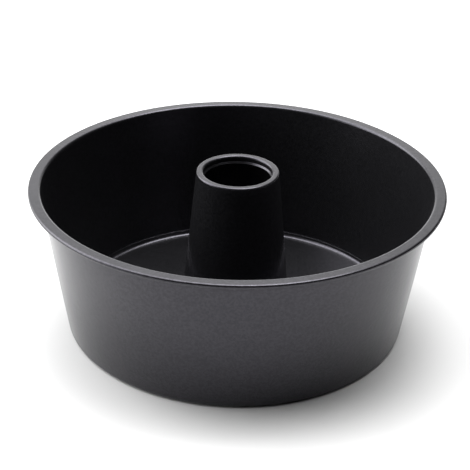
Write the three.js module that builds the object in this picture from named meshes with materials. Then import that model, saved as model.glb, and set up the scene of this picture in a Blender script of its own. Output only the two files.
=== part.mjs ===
// Round tube pan with a loose bottom, in coated sheet steel.
// Millimetres, +Z up. The origin is on the pan's axis, at the surface it stands on.
import * as THREE from 'three';
import { mergeVertices } from 'three/addons/utils/BufferGeometryUtils.js';

// ---- driving dimensions ----
const SHEET = 0.8;             // sheet thickness of the ring and the tube
const RIM_RADIUS = 125.0;      // outside of the rolled rim
const RIM_HEIGHT = 92.0;       // top of the flat flange
const ROLL_RADIUS = 1.35;      // rolled outer edge of the flange
const WALL_R_LOW = 105.35;     // outside of the wall ...
const WALL_Z_LOW = 6.76;       // ... at this height
const WALL_SLOPE = 0.1535;     // outward lean of the wall, mm of radius per mm of height
const RIM_BEND = 1.2;          // radius under the flange, where it leaves the wall
const BASE_CORNER = 3.0;       // outside radius at the bottom of the wall
const LEDGE_RADIUS = 96.0;     // inner edge of the ledge that carries the base plate
const HEM_RADIUS = 99.5;       // how far out the ledge's folded-over hem reaches

const SEAT_GAP = 0.3;          // between the ledge and the plate
const SIDE_GAP = 0.35;         // between the plate's turned-up edge and the wall
const PLATE_THICK = 0.8;
const EDGE_BEND = 3.0;         // inside radius of the plate's turned-up edge
const EDGE_RISE = 0.3;         // straight part of that edge, above its bend
const COLLAR_TOP = 4.0;        // top of the low collar turned up inside the tube
const COLLAR_GAP = 0.3;        // between the collar and the tube

const TUBE_HEIGHT = 98.6;      // top of the tube
const TUBE_R_LOW = 34.05;      // outside of the tube ...
const TUBE_Z_LOW = 5.76;       // ... at this height
const TUBE_SLOPE = -0.099;     // inward lean of the tube
const TUBE_TOP_R = 1.2;        // rounded outer edge of the tube's top
const LIP_TOP_R = 1.4;         // rounded inner edge
const TUBE_BORE = 20.7;        // inside of the turned-down lip
const LIP_DROP = 4.6;          // how far the lip hangs below the top
const FOOT_RADIUS = 36.8;      // outer edge of the tube's foot
const FOOT_BEND = 1.5;         // radius between the foot and the tube
const FOOT_GAP = 0.2;          // between the foot and the plate

const RING_STEPS = 72;
const TUBE_STEPS = 48;

const coating = (tone, rough) => new THREE.MeshStandardMaterial({
  color: new THREE.Color(tone, tone, tone * 1.06), roughness: rough, metalness: 0.35,
});

// points (radius, height) on an arc about (cr, cz), angles in degrees from the outward direction
const arc = (cr, cz, r, from, to, n) => Array.from({ length: n + 1 }, (_, i) => {
  const t = THREE.MathUtils.degToRad(from + (to - from) * i / n);
  return [cr + r * Math.cos(t), cz + r * Math.sin(t)];
});

// a closed (radius, height) outline, counter-clockwise, turned about the Z axis
const turned = (outline, steps, name, material) => {
  const ring = [...outline, outline[0]].map(([r, z]) => new THREE.Vector2(r, z));
  const lathe = new THREE.LatheGeometry(ring, steps);
  lathe.deleteAttribute('normal');
  lathe.deleteAttribute('uv');
  const geometry = mergeVertices(lathe, 1e-4);
  geometry.rotateX(Math.PI / 2);
  geometry.computeVertexNormals();
  const mesh = new THREE.Mesh(geometry, material);
  mesh.name = name;
  return mesh;
};

// ---- pan ring: hemmed ledge, base corner, leaning wall, flange, rolled edge ----
const wallR = (z) => WALL_R_LOW + WALL_SLOPE * (z - WALL_Z_LOW);
const lean = Math.atan(WALL_SLOPE);
const leanDeg = THREE.MathUtils.radToDeg(lean);
const cornerR = wallR(BASE_CORNER) - BASE_CORNER / Math.cos(lean);
const bendZ = RIM_HEIGHT - SHEET - RIM_BEND;
const bendR = wallR(bendZ) + RIM_BEND / Math.cos(lean);
const rollR = RIM_RADIUS - ROLL_RADIUS;
const rollZ = RIM_HEIGHT - ROLL_RADIUS;
const rollStart = 180 - THREE.MathUtils.radToDeg(Math.asin((RIM_HEIGHT - SHEET - rollZ) / ROLL_RADIUS));
const ringOutline = [
  [LEDGE_RADIUS, 0],
  ...arc(cornerR, BASE_CORNER, BASE_CORNER, -90, -leanDeg, 5),
  ...arc(bendR, bendZ, RIM_BEND, 180 - leanDeg, 90, 3),
  ...arc(rollR, rollZ, ROLL_RADIUS, rollStart, 360, 5),
  ...arc(rollR, rollZ, ROLL_RADIUS, 390, 450, 2),
  ...arc(bendR, bendZ, RIM_BEND + SHEET, 90, 180 - leanDeg, 4),
  ...arc(cornerR, BASE_CORNER, BASE_CORNER - SHEET, -leanDeg, -90, 4),
  [HEM_RADIUS, SHEET],
  [HEM_RADIUS, 2 * SHEET],
  [LEDGE_RADIUS, 2 * SHEET],
];

// ---- base plate: flat disc, its edge turned up into the ring's corner, its hole turned up into a collar ----
const tubeR = (z) => TUBE_R_LOW + TUBE_SLOPE * (z - TUBE_Z_LOW);
const tubeLean = Math.atan(-TUBE_SLOPE);
const tubeLeanDeg = THREE.MathUtils.radToDeg(tubeLean);
const skin = SHEET / Math.cos(tubeLean);
const collarR = (z) => tubeR(z) - skin - COLLAR_GAP;
const plateLow = 2 * SHEET + SEAT_GAP;
const plateTop = plateLow + PLATE_THICK;
const edgeZ = plateTop + EDGE_BEND;
const edgeR = wallR(edgeZ) - (SHEET + SIDE_GAP + PLATE_THICK + EDGE_BEND) / Math.cos(lean);
const edgeOut = arc(edgeR, edgeZ, EDGE_BEND + PLATE_THICK, -90, -leanDeg, 5);
const edgeIn = arc(edgeR, edgeZ, EDGE_BEND, -leanDeg, -90, 5);
const raised = ([r, z]) => [r + EDGE_RISE * Math.sin(lean), z + EDGE_RISE * Math.cos(lean)];
const plateOutline = [
  [collarR(plateLow) - skin, plateLow],
  ...edgeOut,
  raised(edgeOut.at(-1)),
  raised(edgeIn[0]),
  ...edgeIn,
  [collarR(plateTop), plateTop],
  [collarR(COLLAR_TOP), COLLAR_TOP],
  [collarR(COLLAR_TOP) - skin, COLLAR_TOP],
];

// ---- centre tube: flared foot, conical wall, top turned in and down ----
const footLow = plateTop + FOOT_GAP;
const footBendZ = footLow + SHEET + FOOT_BEND;
const footBendR = tubeR(footBendZ) + FOOT_BEND / Math.cos(tubeLean);
const topCornerZ = TUBE_HEIGHT - TUBE_TOP_R;
const topCornerR = tubeR(topCornerZ) - TUBE_TOP_R / Math.cos(tubeLean);
const lipR = TUBE_BORE + LIP_TOP_R;
const lipZ = TUBE_HEIGHT - LIP_TOP_R;
const tubeOutline = [
  [FOOT_RADIUS, footLow],
  [FOOT_RADIUS, footLow + SHEET],
  ...arc(footBendR, footBendZ, FOOT_BEND, 270, 180 + tubeLeanDeg, 3),
  ...arc(topCornerR, topCornerZ, TUBE_TOP_R, tubeLeanDeg, 90, 4),
  ...arc(lipR, lipZ, LIP_TOP_R, 90, 180, 4),
  [TUBE_BORE, TUBE_HEIGHT - LIP_DROP],
  [TUBE_BORE + SHEET, TUBE_HEIGHT - LIP_DROP],
  ...arc(lipR, lipZ, LIP_TOP_R - SHEET, 180, 90, 3),
  ...arc(topCornerR, topCornerZ, TUBE_TOP_R - SHEET, 90, tubeLeanDeg, 3),
  ...arc(footBendR, footBendZ, FOOT_BEND + SHEET, 180 + tubeLeanDeg, 270, 4),
];

const group = new THREE.Group();
group.add(turned(ringOutline, RING_STEPS, 'pan_ring', coating(0.075, 0.42)));

// the loose bottom: plate and tube lift out together
const insert = new THREE.Group();
insert.add(turned(plateOutline, RING_STEPS, 'base_plate', coating(0.06, 0.4)));
insert.add(turned(tubeOutline, TUBE_STEPS, 'centre_tube', coating(0.06, 0.4)));
group.add(insert);

export default group;
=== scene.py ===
import math

import bpy
from mathutils import Matrix, Vector


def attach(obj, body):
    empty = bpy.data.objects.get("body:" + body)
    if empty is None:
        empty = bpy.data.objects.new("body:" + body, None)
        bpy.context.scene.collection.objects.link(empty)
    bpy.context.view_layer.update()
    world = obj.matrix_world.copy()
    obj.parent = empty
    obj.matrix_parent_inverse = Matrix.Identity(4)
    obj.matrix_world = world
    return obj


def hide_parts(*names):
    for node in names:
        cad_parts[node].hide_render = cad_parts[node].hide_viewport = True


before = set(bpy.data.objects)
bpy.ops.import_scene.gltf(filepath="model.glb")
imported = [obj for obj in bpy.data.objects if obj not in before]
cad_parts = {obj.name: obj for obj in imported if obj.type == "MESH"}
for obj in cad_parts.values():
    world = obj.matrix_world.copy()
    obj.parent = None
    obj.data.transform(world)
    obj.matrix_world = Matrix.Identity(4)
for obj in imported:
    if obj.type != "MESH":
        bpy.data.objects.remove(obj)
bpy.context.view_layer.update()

# ---------------------------------------------------------------- dimensions, mm
SHEET = 0.8
RIM_RADIUS = 125.0
RIM_HEIGHT = 92.0
ROLL = 1.35                # outside radius of the rolled rim edge
WALL_R_LOW, WALL_Z_LOW, WALL_SLOPE = 105.35, 6.76, 0.1535
RIM_BEND = 1.2
BASE_CORNER = 3.0
LEDGE_RADIUS = 96.0
HEM_RADIUS = 99.5          # how far out the ledge's folded-over hem reaches

SEAT_GAP, SIDE_GAP = 0.3, 0.35
PLATE_THICK = 0.8
EDGE_BEND = 3.0              # inside radius of the plate's turned-up edge
EDGE_RISE = 0.3
COLLAR_TOP, COLLAR_GAP = 4.0, 0.3

TUBE_HEIGHT = 98.6
TUBE_R_LOW, TUBE_Z_LOW, TUBE_SLOPE = 34.05, 5.76, -0.099
TUBE_TOP_R = 1.2             # outer rounding of the tube's top
LIP_TOP_R = 1.4              # inner rounding
TUBE_BORE = 20.7
LIP_DROP = 4.6               # from the top to the free edge of the lip
BEAD = 0.18                  # radius of the small bead on that edge
BEAD_R = 20.1
FOOT_RADIUS = 36.8
FOOT_BEND = 1.5


# ---------------------------------------------------------------- outlines
def arc(cr, cz, r, a0, a1, n):
    out = []
    for i in range(n + 1):
        t = math.radians(a0 + (a1 - a0) * i / n)
        out.append((cr + r * math.cos(t), cz + r * math.sin(t)))
    return out


def between(p, q, tight=0.15, step=6.0):
    """Points on the straight run from p to q, ends left out, close to both ends so that the flat stays flat."""
    length = math.hypot(q[0] - p[0], q[1] - p[1])
    if length < 3 * tight:
        return []
    marks = {tight, length - tight}
    if length > 8 * tight:
        marks |= {4 * tight, length - 4 * tight}
    n = int(length // step)
    marks |= {length * k / (n + 1) for k in range(1, n + 1)}
    return [(p[0] + (q[0] - p[0]) * m / length, p[1] + (q[1] - p[1]) * m / length) for m in sorted(marks)]


def outline(*arcs):
    """Joins the arcs with straight runs into one closed outline."""
    pts = []
    for i, a in enumerate(arcs):
        pts += a
        pts += between(a[-1], arcs[(i + 1) % len(arcs)][0])
    clean = []
    for p in pts:
        if not clean or math.hypot(p[0] - clean[-1][0], p[1] - clean[-1][1]) > 1e-4:
            clean.append(p)
    if math.hypot(clean[0][0] - clean[-1][0], clean[0][1] - clean[-1][1]) < 1e-4:
        clean.pop()
    return clean


def turned(name, pts, steps, shift=None):
    """A closed sheet-metal body of revolution about Z. shift(angle, r, z) adds the small unevenness of a pressed part."""
    n = len(pts)
    verts, faces = [], []
    for s in range(steps):
        t = 2 * math.pi * s / steps
        c, d = math.cos(t), math.sin(t)
        for r, z in pts:
            if shift:
                dr, dz = shift(t, r, z)
                r, z = r + dr, z + dz
            verts.append((r * c / 1000, r * d / 1000, z / 1000))
    for s in range(steps):
        a, b = s * n, ((s + 1) % steps) * n
        for i in range(n):
            j = (i + 1) % n
            faces.append((a + i, b + i, b + j, a + j))
    mesh = bpy.data.meshes.new(name)
    mesh.from_pydata(verts, [], faces)
    mesh.update()
    for p in mesh.polygons:
        p.use_smooth = True
    uv = mesh.uv_layers.new(name="UVMap")
    run = [0.0]
    for i in range(n):
        p, q = pts[i], pts[(i + 1) % n]
        run.append(run[-1] + math.hypot(q[0] - p[0], q[1] - p[1]))
    k = 0
    for s in range(steps):
        for i in range(n):
            for ds, di in ((0, 0), (1, 0), (1, 1), (0, 1)):
                uv.data[k].uv = ((s + ds) / steps, run[i + di] / run[-1])
                k += 1
    obj = bpy.data.objects.new(name, mesh)
    bpy.context.scene.collection.objects.link(obj)
    return obj


lean = math.atan(WALL_SLOPE)
lean_deg = math.degrees(lean)


def wall_r(z):
    return WALL_R_LOW + WALL_SLOPE * (z - WALL_Z_LOW)


corner_r = wall_r(BASE_CORNER) - BASE_CORNER / math.cos(lean)
bend_z = RIM_HEIGHT - SHEET - RIM_BEND
bend_r = wall_r(bend_z) + RIM_BEND / math.cos(lean)
roll_r, roll_z = RIM_RADIUS - ROLL, RIM_HEIGHT - ROLL
CURL_END = -165.0


def curl_cap(n=8):
    """Rounded free edge of the rolled rim, tucked under the flange."""
    t = math.radians(CURL_END)
    out_d, along = (math.cos(t), math.sin(t)), (math.sin(t), -math.cos(t))
    mid, half = ROLL - SHEET / 2, SHEET / 2
    pts = []
    for i in range(1, n):
        s = math.radians(180 - 180 * i / n)
        a, b = mid + half * math.cos(s), half * 0.8 * math.sin(s)
        pts.append((roll_r + a * out_d[0] + b * along[0], roll_z + a * out_d[1] + b * along[1]))
    return pts


ring_pts = outline(
    arc(corner_r, BASE_CORNER, BASE_CORNER, -90, -lean_deg, 12),
    arc(bend_r, bend_z, RIM_BEND, 180 - lean_deg, 90, 8),
    arc(roll_r, roll_z, ROLL - SHEET, 90, CURL_END, 16),
    curl_cap(),
    arc(roll_r, roll_z, ROLL, CURL_END, 90, 28),
    arc(bend_r, bend_z, RIM_BEND + SHEET, 90, 180 - lean_deg, 14),
    arc(corner_r, BASE_CORNER, BASE_CORNER - SHEET, -lean_deg, -90, 12),
    [(HEM_RADIUS, SHEET)],
    arc(HEM_RADIUS - 0.15, 2 * SHEET - 0.15, 0.15, 0, 90, 3),
    arc(LEDGE_RADIUS + SHEET, SHEET, SHEET, 90, 270, 12),
)

# base plate
tube_lean = math.atan(-TUBE_SLOPE)
tube_lean_deg = math.degrees(tube_lean)
skin = SHEET / math.cos(tube_lean)


def tube_r(z):
    return TUBE_R_LOW + TUBE_SLOPE * (z - TUBE_Z_LOW)


def collar_r(z):
    return tube_r(z) - skin - COLLAR_GAP


plate_low = 2 * SHEET + SEAT_GAP
plate_top = plate_low + PLATE_THICK
edge_z = plate_top + EDGE_BEND
edge_r = wall_r(edge_z) - (SHEET + SIDE_GAP + PLATE_THICK + EDGE_BEND) / math.cos(lean)
out_end = arc(edge_r, edge_z, EDGE_BEND + PLATE_THICK, -lean_deg, -lean_deg, 1)[0]
in_end = arc(edge_r, edge_z, EDGE_BEND, -lean_deg, -lean_deg, 1)[0]
rise = (EDGE_RISE * math.sin(lean), EDGE_RISE * math.cos(lean))
tip_mid = (in_end[0] + rise[0] + 0.15 * math.cos(lean), in_end[1] + rise[1] - 0.15 * math.sin(lean))
plate_pts = outline(
    arc(edge_r, edge_z, EDGE_BEND + PLATE_THICK, -90, -lean_deg, 14),
    arc(tip_mid[0], tip_mid[1], 0.15, 20, 180 - lean_deg, 6),
    arc(edge_r, edge_z, EDGE_BEND, -lean_deg, -90, 16),
    arc(collar_r(plate_top) + 0.45, plate_top + 0.45, 0.45, 270, 180 + tube_lean_deg, 5),
    arc(collar_r(COLLAR_TOP) - skin / 2, COLLAR_TOP - skin / 2, skin / 2, 0, 180, 8),
    arc(collar_r(plate_top) + 0.45, plate_top + 0.45, 0.45 + PLATE_THICK, 180 + tube_lean_deg, 270, 7),
)

# centre tube
foot_low = plate_top + 0.03
foot_thick = SHEET + 0.17
foot_bend_z = foot_low + foot_thick + FOOT_BEND
foot_bend_r = tube_r(foot_bend_z) + FOOT_BEND / math.cos(tube_lean)
top_z = TUBE_HEIGHT - TUBE_TOP_R
top_r = tube_r(top_z) - TUBE_TOP_R / math.cos(tube_lean)
lip_r, lip_z = TUBE_BORE + LIP_TOP_R, TUBE_HEIGHT - LIP_TOP_R
bead_z = TUBE_HEIGHT - LIP_DROP + BEAD
tube_pts = outline(
    arc(FOOT_RADIUS - 0.45, foot_low + 0.45, 0.45, -90, 0, 4),
    arc(FOOT_RADIUS - 0.45, foot_low + foot_thick - 0.45, 0.45, 0, 90, 4),
    arc(foot_bend_r, foot_bend_z, FOOT_BEND, 270, 180 + tube_lean_deg, 10),
    arc(top_r, top_z, TUBE_TOP_R, tube_lean_deg, 90, 14),
    arc(lip_r, lip_z, LIP_TOP_R, 90, 180, 12),
    arc(TUBE_BORE - 0.35, bead_z + 1.15, 0.35, 0, -60, 5),
    arc(BEAD_R, bead_z, BEAD, 120, 280, 14),
    arc(TUBE_BORE + SHEET - 0.25, bead_z - 0.15, 0.25, 280, 360, 4),
    arc(lip_r, lip_z, LIP_TOP_R - SHEET, 180, 90, 6),
    arc(top_r, top_z, TUBE_TOP_R - SHEET, 90, tube_lean_deg, 6),
    arc(foot_bend_r, foot_bend_z, FOOT_BEND + SHEET, 180 + tube_lean_deg, 270, 8),
)


def ring_shift(t, r, z):
    """Slight out-of-round and waviness of the drawn ring, growing from nothing at the base."""
    h = max(0.0, z / RIM_HEIGHT)
    w = h * h
    dr = w * (0.10 * math.sin(2 * t + 0.7) + 0.05 * math.sin(3 * t + 2.1) + 0.03 * math.sin(7 * t + 0.4))
    dz = w * w * (0.07 * math.sin(2 * t - 0.5) + 0.04 * math.sin(5 * t + 1.3))
    return dr, dz


ring = turned("pan_ring_steel", ring_pts, 320, ring_shift)
plate = turned("base_plate_steel", plate_pts, 288)
tube = turned("centre_tube_steel", tube_pts, 224)


# ---------------------------------------------------------------- materials
def coating(name, dark, light, rough_lo, rough_hi, spec):
    """Satin non-stick coating on steel: fine grain, slight orange peel, faint uneven sheen."""
    m = bpy.data.materials.new(name)
    m.use_nodes = True
    nt = m.node_tree
    n, l = nt.nodes, nt.links
    n.clear()
    out = n.new("ShaderNodeOutputMaterial")
    b = n.new("ShaderNodeBsdfPrincipled")
    b.inputs["Metallic"].default_value = 0.0
    b.inputs["IOR"].default_value = 1.5
    b.inputs["Specular IOR Level"].default_value = spec
    l.new(b.outputs[0], out.inputs[0])
    co = n.new("ShaderNodeTexCoord")

    grain = n.new("ShaderNodeTexNoise")
    grain.inputs["Scale"].default_value = 900
    grain.inputs["Detail"].default_value = 3
    grain.inputs["Roughness"].default_value = 0.65
    l.new(co.outputs["Object"], grain.inputs["Vector"])

    mottle = n.new("ShaderNodeTexNoise")
    mottle.inputs["Scale"].default_value = 680
    mottle.inputs["Detail"].default_value = 2
    mottle.inputs["Roughness"].default_value = 0.6
    l.new(co.outputs["Object"], mottle.inputs["Vector"])

    cloud = n.new("ShaderNodeTexNoise")
    cloud.inputs["Scale"].default_value = 26
    cloud.inputs["Detail"].default_value = 4
    l.new(co.outputs["Object"], cloud.inputs["Vector"])

    fleck = n.new("ShaderNodeTexVoronoi")
    fleck.inputs["Scale"].default_value = 780
    l.new(co.outputs["Object"], fleck.inputs["Vector"])
    fleck_dot = n.new("ShaderNodeValToRGB")
    fleck_dot.color_ramp.elements[0].position = 0.05
    fleck_dot.color_ramp.elements[0].color = (1, 1, 1, 1)
    fleck_dot.color_ramp.elements[1].position = 0.28
    fleck_dot.color_ramp.elements[1].color = (0, 0, 0, 1)
    l.new(fleck.outputs["Distance"], fleck_dot.inputs[0])

    tone = n.new("ShaderNodeValToRGB")
    tone.color_ramp.elements[0].position = 0.30
    tone.color_ramp.elements[0].color = (*dark, 1)
    tone.color_ramp.elements[1].position = 0.72
    tone.color_ramp.elements[1].color = (*light, 1)
    l.new(mottle.outputs["Fac"], tone.inputs[0])

    uneven = n.new("ShaderNodeValToRGB")
    uneven.color_ramp.elements[0].position = 0.40
    uneven.color_ramp.elements[0].color = (0.70, 0.68, 0.78, 1)
    uneven.color_ramp.elements[1].position = 0.60
    uneven.color_ramp.elements[1].color = (0.90, 0.873, 1.0, 1)
    l.new(mottle.outputs["Fac"], uneven.inputs[0])
    l.new(uneven.outputs[0], b.inputs["Specular Tint"])

    spot = n.new("ShaderNodeMix")
    spot.data_type = "RGBA"
    spot.blend_type = "ADD"
    spot.inputs["B"].default_value = (0.005, 0.005, 0.0055, 1)
    l.new(fleck_dot.outputs[0], spot.inputs["Factor"])
    l.new(tone.outputs[0], spot.inputs["A"])
    l.new(spot.outputs["Result"], b.inputs["Base Color"])

    sheen = n.new("ShaderNodeMapRange")
    sheen.inputs["From Min"].default_value = 0.3
    sheen.inputs["From Max"].default_value = 0.7
    sheen.inputs["To Min"].default_value = rough_lo
    sheen.inputs["To Max"].default_value = rough_hi
    l.new(cloud.outputs["Fac"], sheen.inputs["Value"])
    l.new(sheen.outputs[0], b.inputs["Roughness"])

    peel = n.new("ShaderNodeTexNoise")
    peel.inputs["Scale"].default_value = 400
    peel.inputs["Detail"].default_value = 2
    l.new(co.outputs["Object"], peel.inputs["Vector"])
    peel_bump = n.new("ShaderNodeBump")
    peel_bump.inputs["Strength"].default_value = 0.20
    peel_bump.inputs["Distance"].default_value = 0.0003
    l.new(peel.outputs["Fac"], peel_bump.inputs["Height"])
    grain_bump = n.new("ShaderNodeBump")
    grain_bump.inputs["Strength"].default_value = 0.16
    grain_bump.inputs["Distance"].default_value = 0.00015
    l.new(grain.outputs["Fac"], grain_bump.inputs["Height"])
    l.new(peel_bump.outputs[0], grain_bump.inputs["Normal"])
    l.new(grain_bump.outputs[0], b.inputs["Normal"])
    return m


ring_mat = coating("ring_coating", (0.005, 0.005, 0.0055), (0.010, 0.010, 0.011), 0.18, 0.25, 0.55)
insert_mat = coating("insert_coating", (0.005, 0.005, 0.0055), (0.010, 0.010, 0.011), 0.18, 0.25, 0.55)
for obj, mat in ((ring, ring_mat), (plate, insert_mat), (tube, insert_mat)):
    obj.data.materials.append(mat)

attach(ring, "ring")
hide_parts("pan_ring")
for obj, node in ((plate, "base_plate"), (tube, "centre_tube")):
    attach(obj, "insert")
    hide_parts(node)

# ---------------------------------------------------------------- stage, light, camera
GLOWS = (  # azimuth, elevation, narrowness, strength
    (90, 6, 14, 2.45), (150, 6, 14, 2.4), (180, 6, 14, 3.7),
    (120, 30, 20, 0.6), (150, 30, 20, 4.9), (180, 30, 20, 4.3),
    (60, 50, 30, 0.6), (90, 50, 30, 4.5), (120, 50, 30, 1.9), (150, 50, 30, 4.2), (180, 50, 30, 4.0),
    (0, 70, 40, 3.0), (45, 70, 40, 8.4), (90, 70, 40, 6.0), (180, 70, 40, 1.6), (0, 88, 40, 4.0),
)
STRIPS = (  # lean towards the camera's side in degrees, narrowness, strength: two rows of soft light overhead, left to right
    (4, 150, 2.0), (-8, 150, 8.0),
)
floor_mesh = bpy.data.meshes.new("floor")
S = 6.0
floor_mesh.from_pydata([(-S, -S, -0.0003), (S, -S, -0.0003), (S, S, -0.0003), (-S, S, -0.0003)], [], [(0, 1, 2, 3)])
floor = bpy.data.objects.new("floor", floor_mesh)
bpy.context.scene.collection.objects.link(floor)
fm = bpy.data.materials.new("floor_white")
fm.use_nodes = True
fb = fm.node_tree.nodes["Principled BSDF"]
fb.inputs["Base Color"].default_value = (0.55, 0.55, 0.55, 1)
fb.inputs["Roughness"].default_value = 0.6
fb.inputs["Specular IOR Level"].default_value = 0.2
floor_mesh.materials.append(fm)

world = bpy.data.worlds.new("studio")
bpy.context.scene.world = world
world.use_nodes = True
wn, wl = world.node_tree.nodes, world.node_tree.links
bg = wn["Background"]
bg.inputs["Color"].default_value = (1, 1, 1, 1)


def calc(op, x, y):
    m = wn.new("ShaderNodeMath")
    m.operation = op
    for i, v in enumerate((x, y)):
        if isinstance(v, (int, float)):
            m.inputs[i].default_value = v
        else:
            wl.new(v, m.inputs[i])
    return m.outputs[0]


def towards(azimuth, elevation):
    """Unit vector; azimuth from +X towards +Y, in degrees."""
    a, e = math.radians(azimuth), math.radians(elevation)
    return Vector((math.cos(a) * math.cos(e), math.sin(a) * math.cos(e), math.sin(e)))


sky = wn.new("ShaderNodeTexCoord")


def glow(azimuth, elevation, spread, strength):
    """A broad soft patch of light on the walls and ceiling of the studio."""
    dot = wn.new("ShaderNodeVectorMath")
    dot.operation = "DOT_PRODUCT"
    dot.inputs[1].default_value = towards(azimuth, elevation)
    wl.new(sky.outputs["Generated"], dot.inputs[0])
    fall = calc("POWER", math.e, calc("MULTIPLY", calc("SUBTRACT", dot.outputs["Value"], 1.0), spread))
    return calc("MULTIPLY", fall, strength)


# bright overhead and behind, with some light low on the left, dark on the camera's side
total = None
patches = list(GLOWS)
for tilt, spread, strength in STRIPS:
    for across in (-24, -12, 0, 12, 24):
        x, t = math.radians(across), math.radians(tilt)
        d = Vector((math.sin(x), -math.cos(x) * math.sin(t), math.cos(x) * math.cos(t)))
        patches.append((math.degrees(math.atan2(d.y, d.x)), math.degrees(math.asin(d.z)), spread, strength))
for patch in patches:
    g = glow(*patch)
    total = g if total is None else calc("ADD", total, g)
# the studio's far end behind the object stays plain white, whichever side it is seen from
seen = wn.new("ShaderNodeLightPath").outputs["Is Camera Ray"]
total = calc("ADD", calc("MULTIPLY", total, calc("SUBTRACT", 1.0, seen)), calc("MULTIPLY", seen, 1.2))
wl.new(total, bg.inputs["Strength"])


# the camera: place and aim from the photograph's perspective
CAM = dict(a=0.70714, b=0.43448, yaw=-0.00125, pitch=-0.49270, roll=0.02164, f=1305.4)
fw = Vector((math.sin(CAM["yaw"]) * math.cos(CAM["pitch"]), math.cos(CAM["yaw"]) * math.cos(CAM["pitch"]), math.sin(CAM["pitch"])))
rt = fw.cross(Vector((0, 0, 1))).normalized()
up = rt.cross(fw)
c, s = math.cos(CAM["roll"]), math.sin(CAM["roll"])
right, up2 = c * rt + s * up, -s * rt + c * up
cam_data = bpy.data.cameras.new("camera")
cam_data.sensor_width = 36.0
cam_data.lens = CAM["f"] * 36.0 / 470.0
cam = bpy.data.objects.new("camera", cam_data)
cam.matrix_world = Matrix(((right.x, up2.x, -fw.x, 0), (right.y, up2.y, -fw.y, -CAM["a"]), (right.z, up2.z, -fw.z, CAM["b"]), (0, 0, 0, 1)))
bpy.context.scene.collection.objects.link(cam)
bpy.context.scene.camera = cam

view = bpy.context.scene.view_settings
view.view_transform = "Standard"
view.look = "None"
view.exposure = 0.0
view.gamma = 1.0
